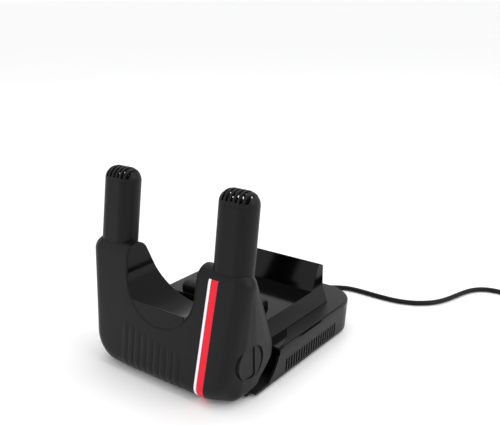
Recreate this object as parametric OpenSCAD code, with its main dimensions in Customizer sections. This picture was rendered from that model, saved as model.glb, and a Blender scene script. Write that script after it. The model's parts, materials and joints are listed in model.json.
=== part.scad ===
// Folding boot dryer: a base that holds the controls and takes in the air, and a
// twin-armed tower that blows warm air up into two boots hung on its nozzles.
// Millimetres. +Z is up, the front faces -Y, and the floor is Z = 0.
// The origin lies on the floor under the middle of the footprint.

/* [Base] */
// Overall depth of the standing dryer, front to back
total_d = 238; // [220:1:270]
// Width of the base across its wings
base_w = 189; // [180:1:220]
// Radius of the two rear corners of the base, seen from above
base_corner_r = 42; // [25:1:50]
// Height of the wing top above the floor
wing_z = 35; // [30:1:38]
// Thickness of the wing plate
wing_t = 2.6; // [2:0.1:4]
// Depth of the gloss band round the rim of the base
rim_h = 5.4; // [4:0.1:7]
// Wall of the tray and of the centre cover
base_wall = 2.4; // [1.8:0.1:3.5]
// Inward slope of the tray wall from its top to its foot
tray_draft = 2; // [0:0.1:6]
// Number of air slots in each side wall
slots = 21; // [8:1:22]
// Distance from one air slot to the next
slot_pitch = 4.6; // [4:0.1:5]
// Width of one air slot
slot_w = 2.4; // [1.6:0.1:3]
// Height of one air slot
slot_h = 14; // [8:1:18]
// Height of the rubber feet below the tray
foot_h = 3; // [1.5:0.5:4]

/* [Centre cover] */
// Width of the centre cover across its top edges
cover_w = 138; // [120:1:150]
// Height of the top of the centre cover above the floor
cover_z = 53; // [48:1:58]
// How far each side of the cover leans out at its foot
cover_spread = 6.5; // [0:0.5:12]
// Distance from the back of the base to the back of the cover
cover_back = 42; // [30:1:50]
// Height of the rear lip above the cover top
lip_h = 28; // [16:1:34]
// Length of one heel rest across the dryer
rest_w = 26; // [15:1:30]
// Height of a heel rest above the cover top
rest_h = 8; // [4:0.5:10]

/* [Tower] */
// Width of the tower at its foot
tower_w = 178; // [168:1:200]
// Sideways growth of each side of the tower for each millimetre of height
flare = 0.08; // [0:0.01:0.15]
// Backward lean of the front face, in degrees
lean = 9; // [4:0.5:14]
// Height of the top of the arms above the floor
arm_top = 128; // [118:1:140]
// Radius of the two lower corners of the front face
corner_r = 32; // [24:1:40]
// Radius of the edge between the front face and the sides
edge_r = 14; // [10:1:16]
// Wall of the tower shells
shell_t = 2.4; // [2:0.1:3]
// Radius of the opening between the arms, inside its liner
tunnel_r = 43.4; // [36:0.2:48]
// Height of the centre of that opening
tunnel_z = 103; // [98:1:108]
// Thickness of the liner
liner_t = 2; // [1.4:0.1:3]
// Width of the bright stripe
silver_w = 2.8; // [1.5:0.1:4]
// Width of the red stripe
red_w = 7; // [4:0.1:9]
// Depth of the groove that holds the stripes
groove = 0.8; // [0.5:0.1:1.2]

/* [Nozzles] */
// Width of a nozzle across the dryer
nozzle_w = 40; // [34:1:44]
// Depth of a nozzle, front to back
nozzle_d = 26; // [20:1:28]
// Wall of a nozzle
nozzle_t = 2; // [1.5:0.1:3]
// Distance between the middles of the two nozzles
nozzle_gap = 146; // [140:1:156]
// Height of the nozzle tips above the floor
nozzle_top = 198; // [180:1:215]

/* [Fold hinge] */
// Distance of the hinge axis behind the front foot of the tower
hinge_back = 31; // [28:1:36]
// Height of the hinge axis above the floor
hinge_z = 41; // [39:1:46]
// Radius of the rounded heel of the tower about the hinge axis
heel_r = 41; // [38:1:44]
// Diameter of the hinge pins
pin_d = 8; // [5:0.5:9]
// Radius of the round hubs on the tower's sides
hub_r = 17; // [14:0.2:20]

/* [Fan and heater] */
// Diameter of the fan wheel
fan_d = 40; // [36:1:42]
// Height of the fan wheel
fan_h = 20; // [14:1:22]
// Number of fan blades
blades = 24; // [12:1:32]
// Diameter of the motor
motor_d = 20; // [16:1:26]

/* [Cord] */
// Diameter of the power cord
cord_d = 5.6; // [5:0.2:6]

/* [Hidden] */
$fn = 64;

fit = 0.2;                       // gap round pieces that slide into one another
over = 1;                        // how far a cut runs past the face it opens
hull_fn = 32;                    // facets of the shapes that are hulled together
left = -1;
right = 1;

front_y = -total_d / 2;
switch_proud = 2;                // how far the switch stands out behind the base
back_y = total_d / 2 - switch_proud;
hinge_y = front_y + hinge_back;
sweep_r = heel_r + 4;            // space that the turning heel needs

// Base
floor_t = 2.4;
tray_top = wing_z - rim_h - 1;
rim_z = tray_top;
rim_t = 3;
wing_inset = 2.4;
tray_front = hinge_y + 8;
foot_d = 14;
foot_sink = 1;
head_r = 2.8;
head_h = 2;
cover_screw = 10;
foot_x = base_w / 2 - 22;
foot_ys = [hinge_y + 40, back_y - 24];
slot_foot = foot_h + floor_t + 0.2;
slot_first = hinge_y + 57;
screw_d = 3;
base_screw_xs = [-58, 58];

// Centre cover
cover_front = hinge_y + sweep_r + 3;
cover_front_slope = 11;
flange_t = 1;
flange = [[-2, 74], [-8, 78], [-16, 84], [-26, 89], [-34, 91.5], [-44, 92]];
cover_end = back_y - cover_back;
lip_foot = 22;
lip_crest = 8;
lip_fall = 4;
cover_seat = 3;                  // how far the cover's sides rest on the wing
base_screw_ys = [hinge_y + 62, cover_end - 14];
rest_x = 25;
rest_y = cover_front + 18;
rest_d = 20;
rest_cut = 3;                    // bevel along a heel rest's top

// Controls
board = [70, 45, 1.6];
board_z = 12;
board_y = 40;
post_w = 6;
relay = [18, 16, 12];
relay_at = [-22, -12];
can_x = 12;
can_h = 14;
can_r = 5;
switch_x = -38;
switch_z = 17;
switch_w = 21;
switch_hi = 15;
switch_depth = 18;
rocker_w = 17;
stub_r = 1.5;
stub_l = 1;
run = 0.05;                      // radial gap of a turning shaft
rocker_pivot_in = 5;
rocker_half = 5.2;

// Hinge
bracket_inset = 12.28;           // from the tower's side to a bracket's inner face
bracket_x = half_w(hinge_z) - bracket_inset;
bracket_t = 6;
bracket_r = 11;
stem_w = 10;
stem_y = hinge_y + 2;
tab_w = 8;
bracket_screw = 14;
washer_t = 0.8;
hub_in = bracket_x + bracket_t + washer_t;
hub_out = half_w(hinge_z) + 0.6;
hub_step = 2;
hub_chord = 6;
hub_dish = 1;                    // how far the hub's face is sunk inside its rim
hub_rim = 1.6;
pin_in = bracket_x - 3;
pin_head_t = 2;
pin_head_rim = 2.5;
pin_end = hub_out - 2.2;

// Tower
heel_edge = 10;
heel_foot = 12;
skid_front = 8;
back_r = 12;
back_z = hinge_z + 55;
underside = [
    [46, 7], [40, 3], [34, -6], [24, -14], [15, -20], [10, -27], [0, -31], [0, -60],
    [70, -60], [70, 7]];
boss_r = 3.6;
boss_at = [[34, 50], [88, 66], [94, 100]];
boss_seat = 5;
liner_rise = 30;
stripe_x = 49;
stripe_lean = 0.08;
stripe_gap = 1;
stripe_drop = 8;

// Air path
scroll_r = 24;
scroll_y = hinge_y + 1.5;
scroll_foot = 18;
scroll_t = 1.6;
inlet_r = 15;
wheel_z = scroll_foot + scroll_t + 2;
motor_rise = 11;                 // room for the motor above the wheel
scroll_top = wheel_z + fan_h + motor_rise;
shaft_r = 1.5;
cup_gap = 1;                     // gap between the motor and the wheel's cup
cup_t = 1.6;
cup_floor = 2;
ring_t = 1.4;
blade_reach = 5;
blade_t = 1;
duct_d = 16;
duct_t = 1.4;
duct_mid_y = hinge_y - 1;
duct_top = arm_top - 14;
duct_x = nozzle_gap / 2;
duct_low = scroll_foot;
duct_sill = duct_low + 24;
duct_start = scroll_r + 4;
duct_path = [
    [duct_start, duct_low], [duct_x, duct_low], [duct_x, 58], [duct_x + 9, 84], [duct_x + 14, duct_top],
    [duct_x - 16, duct_top], [duct_x - 17, 90], [duct_x - 17, 64], [duct_x - 23, duct_sill],
    [duct_start, duct_sill]];
duct_in = duct_start - 2;
duct_bore = [
    [duct_in, duct_low + duct_t], [duct_x - duct_t, duct_low + duct_t], [duct_x - duct_t, 58.5],
    [duct_x + 9 - duct_t, 84.4], [duct_x + 14 - duct_t, duct_top + over],
    [duct_x - 16 + duct_t, duct_top + over], [duct_x - 17 + duct_t, 90], [duct_x - 17 + duct_t, 64],
    [duct_x - 23 + duct_t, duct_sill - duct_t], [duct_in, duct_sill - duct_t]];
heater_z = 88;
heater_h = 14;
heater_w = 22;
heater_x = duct_x - 3.5;
heater_cells = 5;
heater_rim = 2;
cutout = [10, 4, 3];
cell_wall = 1.2;
nozzle_back = 17;
nozzle_foot = arm_top - 12;
tip_h = 14;
nozzle_len = (nozzle_top - nozzle_foot) / cos(lean) - tip_h - 1;
grille_bars = 3;
grille_pitch = 5;
grille_slot = 2.6;
grille_low = 4;                  // where the outlet slots begin above the tip's foot
spigot_h = 3;

// Cord: the points of its lying stretch, chosen by hand, and its coil
cord_r = cord_d / 2;
gland_x = 14;
gland_z = 15;
gland_len = 26;
gland_r = 5.2;
gland_flange = 1.6;
gland_rim = 1.8;
gland_wall = 0.9;
route = [
    [14, 143, 15], [14, 145, 15], [14.3, 149, 13.6], [15.5, 156, 10.2], [18, 163, 6.4], [22, 170, 3.8],
    [29, 177, 3], [40, 182.4, 3], [53, 184.4, 3], [67, 184.4, 3], [81, 184, 3], [95, 184, 3], [108, 185.4, 3],
    [120, 188.6, 3], [131, 194, 3], [141, 202, 3], [149, 212, 3], [155, 225, 3], [159.4, 239, 3],
    [163.6, 253, 3], [169, 266, 3], [177, 276, 3], [187, 281.4, 3], [199, 283, 3], [211, 282.4, 3],
    [222, 280.8, 3.2], [232, 278.6, 3.6]];
coil_at = [250, 311];
coil_mid_r = 32;
coil_turns = 2;
coil_rows = 3;
coil_z = 0.8;
tie_w = 10;
tie_t = 0.8;
tie_angle = 120;
plug_neck = 30;
plug_len = 26;
plug_w = 26;
plug_round = 8;
blade = [1.5, 18, 6.3];
blade_gap = 12.7;
plug_x = coil_at[0] + coil_mid_r + (coil_turns - 1) * cord_d / 2;
plug_y = coil_at[1] + 14;
plug_z = coil_z + coil_rows * cord_d / 2;

toe_gap = 2;
toe_z = toe_gap + edge_r;

function half_w(z) = tower_w / 2 + z * flare;
function core_y(z) = front_y + edge_r + (z - toe_z) * tan(lean);
function face_y(z) = core_y(z) - edge_r / cos(lean);
function nozzle_y(z) = face_y(z) + nozzle_back;
function unit3(v) = v / norm(v);
function route_dir(i) =
    unit3(route[min(i + 1, len(route) - 1)] - route[max(i - 1, 0)]);
function ring(i, sides) =
    let (d = route_dir(i), across = unit3(cross(d, [0, 0, 1])), up = cross(across, d))
    [for (k = [0 : sides - 1]) let (a = 360 * k / sides)
        route[i] + cord_r * (cos(a) * across + sin(a) * up)];

// ---- shared shapes ----

module along_x(length, r) rotate([0, 90, 0]) cylinder(h = length, r = r);
module along_y(length, r) rotate([-90, 0, 0]) cylinder(h = length, r = r);

// A disc with a round edge, lying in XY
module round_disc(r, edge) rotate_extrude($fn = hull_fn) translate([r, 0]) circle(edge, $fn = hull_fn / 2);

// Plan of the base, grown by d
module base_plan(d = 0) {
    w = base_w / 2;
    r = base_corner_r;
    translate([-w - d, tray_front - d]) square([base_w + 2 * d, back_y - r - tray_front + d]);
    translate([-w + r, back_y - r - over]) square([base_w - 2 * r, r + over + d]);
    for (s = [left, right]) translate([s * (w - r), back_y - r]) circle(r + d);
}

// Body of the base between two heights, drawn in by d and tapering to its foot by the draft
module tray_form(z0, z1, d = 0) {
    w = base_w / 2 - d;
    r = base_corner_r - d;
    h = z1 - z0;
    draft = tray_draft * h / (tray_top - foot_h);
    slab = [[-w + draft, z0], [w - draft, z0], [w, z1], [-w, z1]];
    translate([0, back_y - base_corner_r, 0]) {
        rotate([90, 0, 0]) linear_extrude(back_y - base_corner_r - tray_front - d) polygon(slab);
        translate([-w + r, 0, 0]) rotate([90, 0, 90]) linear_extrude(2 * (w - r))
            polygon([[-over, z0], [r - draft, z0], [r, z1], [-over, z1]]);
        for (s = [left, right]) translate([s * (w - r), 0, z0]) cylinder(h = h, r1 = r - draft, r2 = r);
    }
}

// The round space that the tower's heel turns in, above the tray floor
module heel_space(r = sweep_r) intersection() {
    translate([-base_w, hinge_y, hinge_z]) along_x(2 * base_w, r);
    translate([-base_w, hinge_y - total_d, foot_h + floor_t]) cube([2 * base_w, 2 * total_d, total_d]);
}

// Solid of the centre cover, shrunk by d
module cover_form(d = 0) {
    w = cover_w / 2;
    foot = wing_z - (d > 0 ? over : 0);
    intersection() {
        translate([0, back_y, 0]) rotate([90, 0, 0]) linear_extrude(total_d) polygon([
            [-w - cover_spread + d, foot], [w + cover_spread - d, foot],
            [w - d, cover_z - d], [w - d, cover_z + lip_h - d],
            [-w + d, cover_z + lip_h - d], [-w + d, cover_z - d]]);
        translate([-base_w, 0, 0]) rotate([90, 0, 90]) linear_extrude(2 * base_w) polygon([
            [cover_front + d, foot], [cover_front + cover_front_slope + d, cover_z - d],
            [cover_end - lip_foot + d / 2, cover_z - d], [cover_end - lip_crest, cover_z + lip_h - d],
            [cover_end - d, cover_z + lip_h - lip_fall - d], [cover_end - d, foot]]);
    }
}

// The flat apron by which the cover spreads to the rim at its front
module cover_flange() translate([0, 0, wing_z]) linear_extrude(flange_t)
    polygon(concat(
        [for (p = flange) [p[1], p[0]]],
        [for (i = [len(flange) - 1 : -1 : 0]) [-flange[i][1], flange[i][0]]]));

// Outer form of the tower, grown by d
module tower_form(d = 0) hull() for (s = [left, right]) {
    disc_z = toe_z + (corner_r - edge_r) * cos(lean);
    translate([s * (tower_w / 2 - corner_r), core_y(disc_z), disc_z])
        rotate([90 - lean, 0, 0]) round_disc(corner_r - edge_r, edge_r + d);
    translate([s * (half_w(arm_top) - edge_r), core_y(arm_top - edge_r), arm_top - edge_r])
        sphere(edge_r + d, $fn = hull_fn);
    translate([s * (half_w(toe_z) - edge_r), hinge_y - skid_front, toe_z])
        sphere(edge_r + d, $fn = hull_fn);
    translate([s * (half_w(back_z) - back_r), hinge_y, back_z])
        sphere(back_r + d, $fn = hull_fn);
    intersection() {
        translate([s * (half_w(hinge_z) - heel_edge), hinge_y, hinge_z])
            rotate([0, 90, 0]) round_disc(heel_r - heel_edge, heel_edge + d);
        translate([-base_w, hinge_y - heel_edge, heel_foot]) cube([2 * base_w, 2 * heel_r, 2 * heel_r]);
    }
}

// The opening between the arms with radius r, cut right through along Y
module tunnel(r) {
    top = arm_top + 20;
    rise = top - tunnel_z;
    translate([0, back_y, 0]) rotate([90, 0, 0]) linear_extrude(2 * total_d) {
        translate([0, tunnel_z]) circle(r);
        polygon([
            [-r, tunnel_z], [r, tunnel_z],
            [r + rise * flare / 2, top], [-r - rise * flare / 2, top]]);
    }
}

// Everything below the heel's rear edge, open to the base
module open_underside() translate([-base_w, hinge_y, hinge_z]) rotate([90, 0, 90])
    linear_extrude(2 * base_w) polygon(underside);

// Oval of a nozzle, grown by d
module nozzle_oval(d = 0) {
    r = nozzle_d / 2;
    x = nozzle_w / 2 - r;
    translate([-x, -r - d]) square([2 * x, nozzle_d + 2 * d]);
    for (s = [left, right]) translate([s * x, 0]) circle(r + d);
}

// Places its children at the foot of a nozzle, leaning with the arm
module at_nozzle(side) translate([side * nozzle_gap / 2, nozzle_y(nozzle_foot), nozzle_foot])
    rotate([-lean, 0, 0]) children();

module stripe_band(x, w, d_out, d_in) difference() {
    intersection() {
        tower_form(d_out);
        translate([x, front_y - over, 0]) multmatrix([
            [1, 0, stripe_lean, 0], [0, 1, 0, 0], [0, 0, 1, 0], [0, 0, 0, 1]])
            cube([w, hinge_back + over - 6, arm_top - stripe_drop]);
    }
    tower_form(d_in);
}

// ---- base ----

module at_base_screws() for (x = base_screw_xs, y = base_screw_ys) translate([x, y, 0]) children();
module at_feet() for (x = [-foot_x, foot_x], y = foot_ys) translate([x, y, 0]) children();

module base_tray() color("#3c3d40") difference() {
    union() {
        difference() {
            tray_form(foot_h, tray_top);
            tray_form(foot_h + floor_t, tray_top + over, base_wall);
        }
        at_base_screws() translate([0, 0, foot_h]) cylinder(h = wing_z - foot_h - fit, r = boss_r);
        for (s = [left, right]) translate([s * (bracket_x + bracket_t / 2) - tab_w / 2, stem_y - 1, foot_h])
            cube([tab_w, tray_front - stem_y + 1 + over, floor_t]);
    }
    heel_space();
    for (s = [left, right], i = [0 : slots - 1])
        translate([s * base_w / 2 - 6, slot_first + i * slot_pitch - slot_w / 2, slot_foot])
            cube([12, slot_w, slot_h]);
    at_base_screws() {
        cylinder(h = foot_h + head_h + over, r = head_r + fit);
        cylinder(h = wing_z, r = screw_d / 2 + fit);
    }
    at_feet() translate([0, 0, foot_h - over]) cylinder(h = over + foot_sink, r = foot_d / 2);
    for (s = [left, right]) at_bracket_screw(s)
        cylinder(h = foot_h + floor_t + over, r = screw_d / 2 + fit);
    translate([gland_x, back_y - 2 * base_wall, gland_z]) along_y(4 * base_wall, gland_r + fit);
    translate([switch_x - switch_w / 2, back_y - 2 * base_wall, switch_z - switch_hi / 2])
        cube([switch_w, 4 * base_wall, switch_hi]);
}

module wing_cover() color("#45464a") difference() {
    translate([0, 0, wing_z - wing_t]) linear_extrude(wing_t) base_plan(-wing_inset);
    translate([cover_seat - cover_w / 2 - cover_spread, cover_front + cover_seat, 0])
        cube([
            cover_w + 2 * (cover_spread - cover_seat), cover_end - cover_front - 2 * cover_seat,
            wing_z + over]);
    heel_space(sweep_r + 1);
}

module rim_band() color("#0b0b0c") difference() {
    translate([0, 0, rim_z]) linear_extrude(rim_h) base_plan(0.4);
    translate([0, 0, rim_z - over]) linear_extrude(rim_h + 2 * over) base_plan(-rim_t);
    translate([0, 0, wing_z - wing_t]) linear_extrude(wing_t + over) base_plan(-wing_inset);
    heel_space();
}

module centre_cover() color("#0c0c0d") {
    difference() {
        union() {
            cover_form();
            cover_flange();
        }
        cover_form(base_wall);
        heel_space();
    }
    intersection() {
        at_base_screws() difference() {
            translate([0, 0, wing_z]) cylinder(h = total_d, r = boss_r);
            translate([0, 0, wing_z - over]) cylinder(h = cover_screw, r = screw_d / 2 - fit);
        }
        cover_form(base_wall / 2);
    }
}

module heel_rest(side) color("#2c2d30") translate([side * rest_x, rest_y, cover_z]) {
    x = side > 0 ? 0 : -rest_w;
    shoulder = rest_h - rest_cut;
    translate([x, 0, 0]) rotate([90, 0, 90]) linear_extrude(rest_w) polygon([
        [0, 0], [rest_d, 0], [rest_d, shoulder], [rest_d - rest_cut - 1, rest_h],
        [rest_cut + 2, rest_h], [1, shoulder]]);
}
module heel_rest_left() heel_rest(left);
module heel_rest_right() heel_rest(right);

module base_feet() color("#1a1a1b") at_feet() cylinder(h = foot_h + foot_sink, r = foot_d / 2);

module base_screws() color("#b9bcc2") at_base_screws() {
    translate([0, 0, foot_h + 0.2]) cylinder(h = head_h, r = head_r);
    translate([0, 0, foot_h + 0.2]) cylinder(h = wing_z - foot_h + cover_screw - 3, r = screw_d / 2 - fit);
}

// ---- fold hinge ----

module at_bracket_screw(side)
    translate([side * (bracket_x + bracket_t / 2), stem_y + stem_w / 2, 0]) children();

module hinge_bracket(side) color("#1d1e20") difference() {
    x = side > 0 ? bracket_x : -bracket_x - bracket_t;
    union() {
        translate([x, hinge_y, hinge_z]) along_x(bracket_t, bracket_r);
        translate([x, stem_y, foot_h + floor_t]) cube([bracket_t, stem_w, hinge_z - foot_h - floor_t]);
    }
    translate([x - over, hinge_y, hinge_z]) along_x(bracket_t + 2 * over, pin_d / 2);
    at_bracket_screw(side) cylinder(h = foot_h + bracket_screw, r = screw_d / 2 - fit);
}
module hinge_bracket_left() hinge_bracket(left);
module hinge_bracket_right() hinge_bracket(right);

module bracket_screws() color("#b9bcc2") for (s = [left, right]) at_bracket_screw(s)
    translate([0, 0, foot_h]) cylinder(h = bracket_screw - 1, r = screw_d / 2 - fit);

module hinge_pin(side) color("#c4c7cc") mirror([side > 0 ? 0 : 1, 0, 0])
    translate([0, hinge_y, hinge_z]) {
        translate([pin_in, 0, 0]) along_x(pin_end - pin_in, pin_d / 2);
        translate([pin_in - pin_head_t, 0, 0])
            along_x(pin_head_t + bracket_x - pin_in, pin_d / 2 + pin_head_rim);
    }
module hinge_pin_left() hinge_pin(left);
module hinge_pin_right() hinge_pin(right);

module hinge_washer(side) color("#e8e4da") mirror([side > 0 ? 0 : 1, 0, 0]) difference() {
    translate([bracket_x + bracket_t, hinge_y, hinge_z]) along_x(washer_t, bracket_r - 2);
    translate([bracket_x, hinge_y, hinge_z]) along_x(bracket_t + 2 * over, pin_d / 2 + fit / 2);
}
module hinge_washer_left() hinge_washer(left);
module hinge_washer_right() hinge_washer(right);

// The hub that fills the round opening in the tower's side and turns on the pin
module hinge_hub(side) color("#2b2c2f") mirror([side > 0 ? 0 : 1, 0, 0])
    translate([0, hinge_y, hinge_z]) difference() {
        union() {
            translate([hub_in, 0, 0]) along_x(hub_step, bracket_r);
            translate([hub_in + hub_step, 0, 0]) along_x(hub_out - hub_in - hub_step, hub_r);
        }
        translate([hub_in - over, 0, 0]) along_x(pin_end - hub_in + over + fit, pin_d / 2 + run);
        difference() {
            translate([hub_out - hub_dish, 0, 0]) along_x(hub_dish + over, hub_r - hub_rim);
            translate([0, hub_chord, -hub_r]) cube([2 * hub_out, hub_r, 2 * hub_r]);
        }
    }
module hinge_hub_left() hinge_hub(left);
module hinge_hub_right() hinge_hub(right);

// ---- controls ----

module control_board() color("#1f6b43") {
    translate([-board[0] / 2, board_y - board[1] / 2, board_z]) cube(board);
    for (s = [left, right])
        translate([s * (board[0] / 2 - post_w) - post_w / 2, board_y - post_w / 2, foot_h + floor_t])
            cube([post_w, post_w, board_z - foot_h - floor_t]);
    translate([relay_at[0], board_y + relay_at[1], board_z + board[2]]) cube(relay);
    translate([can_x, board_y, board_z + board[2]]) cylinder(h = can_h, r = can_r);
}

module switch_body() color("#141415") difference() {
    union() {
        translate([switch_x - switch_w / 2 + fit, back_y - switch_depth, switch_z - switch_hi / 2 + fit])
            cube([switch_w - 2 * fit, switch_depth, switch_hi - 2 * fit]);
        translate([switch_x - switch_w / 2 - 1, back_y, switch_z - switch_hi / 2 - 1])
            cube([switch_w + 2, 1, switch_hi + 2]);
    }
    translate([switch_x - rocker_w / 2 - fit, back_y - switch_depth + 3, switch_z - switch_hi / 2 + 1.5])
        cube([rocker_w + 2 * fit, switch_depth, switch_hi - 3]);
    translate([switch_x - rocker_w / 2 - stub_l - fit, back_y - rocker_pivot_in, switch_z])
        along_x(rocker_w + 2 * (stub_l + fit), stub_r + run);
}

module switch_rocker() color("#8e1f1f")
    translate([switch_x - rocker_w / 2, back_y - rocker_pivot_in, switch_z]) {
        translate([-stub_l, 0, 0]) along_x(rocker_w + 2 * stub_l, stub_r);
        intersection() {
            along_x(rocker_w, rocker_pivot_in + switch_proud);
            translate([0, -rocker_pivot_in, -rocker_half])
                cube([rocker_w, 4 * rocker_pivot_in, 2 * rocker_half]);
        }
    }

module strain_relief() color("#101011") {
    translate([gland_x, back_y - 2 * base_wall, gland_z]) along_y(2 * base_wall + 1, gland_r);
    translate([gland_x, back_y, gland_z]) along_y(gland_flange, gland_r + gland_rim);
    translate([gland_x, back_y + gland_flange, gland_z]) rotate([-90, 0, 0])
        cylinder(h = gland_len - gland_flange, r1 = gland_r - 0.4, r2 = cord_r + gland_wall);
}

// ---- tower ----

module tower_shell(front) {
    seam = hinge_y;
    difference() {
        intersection() {
            tower_form();
            translate([-base_w, front ? seam - total_d : seam, 0]) cube([2 * base_w, total_d, 2 * arm_top]);
        }
        tower_form(-shell_t);
        tunnel(tunnel_r + liner_t);
        open_underside();
        for (s = [left, right]) {
            mirror([s > 0 ? 0 : 1, 0, 0]) {
                translate([hub_in + hub_step, hinge_y, hinge_z]) along_x(hub_r, hub_r + fit);
                translate([bracket_x - 2, stem_y - 3, 0])
                    cube([bracket_t + 4, hinge_back, foot_h + floor_t + heel_foot]);
            }
            at_nozzle(s) translate([0, 0, -over]) linear_extrude(arm_top) nozzle_oval(fit);
        }
    }
}

module at_bosses() for (s = [left, right], b = boss_at)
    translate([s * b[0], hinge_y, b[1]]) children();

module tower_front_shell() color("#26272a") difference() {
    union() {
        tower_shell(true);
        intersection() {
            at_bosses() translate([0, -hinge_back, 0]) along_y(hinge_back, boss_r);
            tower_form(-shell_t / 2);
        }
    }
    at_bosses() translate([0, -boss_seat - 4, 0]) along_y(boss_seat + 4 + over, screw_d / 2 - fit);
    stripe_groove();
}

module tower_rear_shell() color("#26272a") difference() {
    union() {
        tower_shell(false);
        intersection() {
            at_bosses() along_y(2 * heel_r, boss_r);
            tower_form(-shell_t / 2);
        }
    }
    at_bosses() {
        translate([0, -over, 0]) along_y(2 * heel_r, screw_d / 2 + fit);
        translate([0, boss_seat, 0]) along_y(2 * heel_r, head_r + fit);
    }
}

module tower_screws() color("#b9bcc2") at_bosses() {
    translate([0, -boss_seat - 2, 0]) along_y(2 * boss_seat + 2, screw_d / 2 - fit);
    translate([0, boss_seat, 0]) along_y(head_h, head_r);
}

module tunnel_liner() color("#070708") difference() {
    intersection() {
        tunnel(tunnel_r + liner_t);
        tower_form();
        translate([-base_w, front_y - over, tunnel_z - 2 * tunnel_r])
            cube([2 * base_w, total_d, 2 * tunnel_r + liner_rise]);
    }
    tunnel(tunnel_r);
    open_underside();
}

module stripe_groove() stripe_band(stripe_x - fit / 2, silver_w + stripe_gap + red_w + fit, 1, -groove);
module stripe_silver() color("#dfe3e8") stripe_band(stripe_x, silver_w, 0.1, -groove);
module stripe_red() color("#e8273c") stripe_band(stripe_x + silver_w + stripe_gap, red_w, 0.1, -groove);

// ---- air path ----

module blower_scroll() color("#303134") translate([0, scroll_y, 0]) difference() {
    translate([0, 0, scroll_foot]) cylinder(h = scroll_top - scroll_foot, r = scroll_r);
    translate([0, 0, scroll_foot + scroll_t])
        cylinder(h = scroll_top - scroll_foot - 2 * scroll_t, r = scroll_r - scroll_t);
    translate([0, 0, scroll_foot - over]) cylinder(h = scroll_t + 2 * over, r = inlet_r);
    translate([-scroll_r - over, duct_mid_y - scroll_y - duct_d / 2 + duct_t, duct_low + duct_t])
        cube([2 * scroll_r + 2 * over, duct_d - 2 * duct_t, duct_sill - duct_low - 2 * duct_t]);
}

module fan_wheel() color("#d9dadc") translate([0, scroll_y, wheel_z]) {
    difference() {
        cylinder(h = fan_h, r = motor_d / 2 + cup_gap + cup_t);
        translate([0, 0, cup_floor]) cylinder(h = fan_h, r = motor_d / 2 + cup_gap);
        translate([0, 0, -over]) cylinder(h = fan_h, r = shaft_r + run);
    }
    difference() {
        cylinder(h = ring_t, r = fan_d / 2);
        translate([0, 0, -over]) cylinder(h = fan_h, r = motor_d / 2 + 2);
    }
    translate([0, 0, fan_h - ring_t]) difference() {
        cylinder(h = ring_t, r = fan_d / 2);
        translate([0, 0, -over]) cylinder(h = fan_h, r = fan_d / 2 - blade_reach);
    }
    for (i = [0 : blades - 1]) rotate([0, 0, i * 360 / blades])
        translate([fan_d / 2 - blade_reach, -blade_t / 2, 0])
            cube([blade_reach - 2 * fit, blade_t, fan_h]);
}

module fan_motor() color("#8b8f96") translate([0, scroll_y, 0]) {
    translate([0, 0, wheel_z + 4]) cylinder(h = scroll_top - scroll_t - wheel_z - 4, r = motor_d / 2);
    translate([0, 0, wheel_z - 1]) cylinder(h = 6, r = shaft_r);
}

module air_duct(side) color("#35363a") mirror([side > 0 ? 0 : 1, 0, 0])
    translate([0, duct_mid_y + duct_d / 2, 0]) rotate([90, 0, 0]) difference() {
        linear_extrude(duct_d) polygon(duct_path);
        translate([0, 0, duct_t]) linear_extrude(duct_d - 2 * duct_t) polygon(duct_bore);
    }
module air_duct_left() air_duct(left);
module air_duct_right() air_duct(right);

module heater(side) color("#c9b48a") translate([side * heater_x, duct_mid_y, heater_z]) {
    inner_d = duct_d - 2 * duct_t - 2 * fit;
    cell = (heater_w - 2 * heater_rim) / heater_cells;
    difference() {
        translate([-heater_w / 2, -inner_d / 2, 0]) cube([heater_w, inner_d, heater_h]);
        for (i = [0 : heater_cells - 1])
            translate([heater_rim - heater_w / 2 + i * cell + cell_wall / 2, heater_rim - inner_d / 2, -over])
                cube([cell - cell_wall, inner_d - 2 * heater_rim, heater_h + 2 * over]);
    }
}
module heater_left() heater(left);
module heater_right() heater(right);

module thermal_cutout() color("#ece7dc")
    translate([heater_x - cutout[0] / 2, duct_mid_y - cutout[1] / 2, heater_z + heater_h]) cube(cutout);

module nozzle(side) color("#161617") at_nozzle(side) difference() {
    union() {
        linear_extrude(nozzle_len) nozzle_oval();
        translate([0, 0, nozzle_len]) linear_extrude(spigot_h) nozzle_oval(-nozzle_t - fit);
    }
    translate([0, 0, -over]) linear_extrude(nozzle_len + spigot_h + 2 * over) nozzle_oval(-2 * nozzle_t);
    translate([-nozzle_w, -nozzle_d, -over]) cube([2 * nozzle_w, 2 * nozzle_d, over]);
}
module nozzle_left() nozzle(left);
module nozzle_right() nozzle(right);

module outlet_grille(side) color("#1c1c1e") at_nozzle(side) translate([0, 0, nozzle_len])
    difference() {
        grille_form(0);
        grille_form(nozzle_t);
        for (i = [-grille_bars : grille_bars])
            translate([i * grille_pitch - grille_slot / 2, -nozzle_d, grille_low])
                cube([grille_slot, 2 * nozzle_d, tip_h]);
    }

// Rounded tip of a nozzle, shrunk by d
module grille_form(d) {
    r = nozzle_d / 2;
    x = nozzle_w / 2 - r;
    spring = tip_h - r + 1;
    drop = d > 0 ? over : 0;
    translate([0, 0, -drop]) linear_extrude(spring + drop + 3) nozzle_oval(-d);
    intersection() {
        translate([0, 0, spring]) hull() for (s = [left, right])
            translate([s * x, 0, 0]) sphere(r - d, $fn = hull_fn);
        translate([-nozzle_w, -nozzle_d, 0]) cube([2 * nozzle_w, 2 * nozzle_d, 2 * nozzle_d]);
    }
}
module outlet_grille_left() outlet_grille(left);
module outlet_grille_right() outlet_grille(right);

// ---- cord ----

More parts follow.
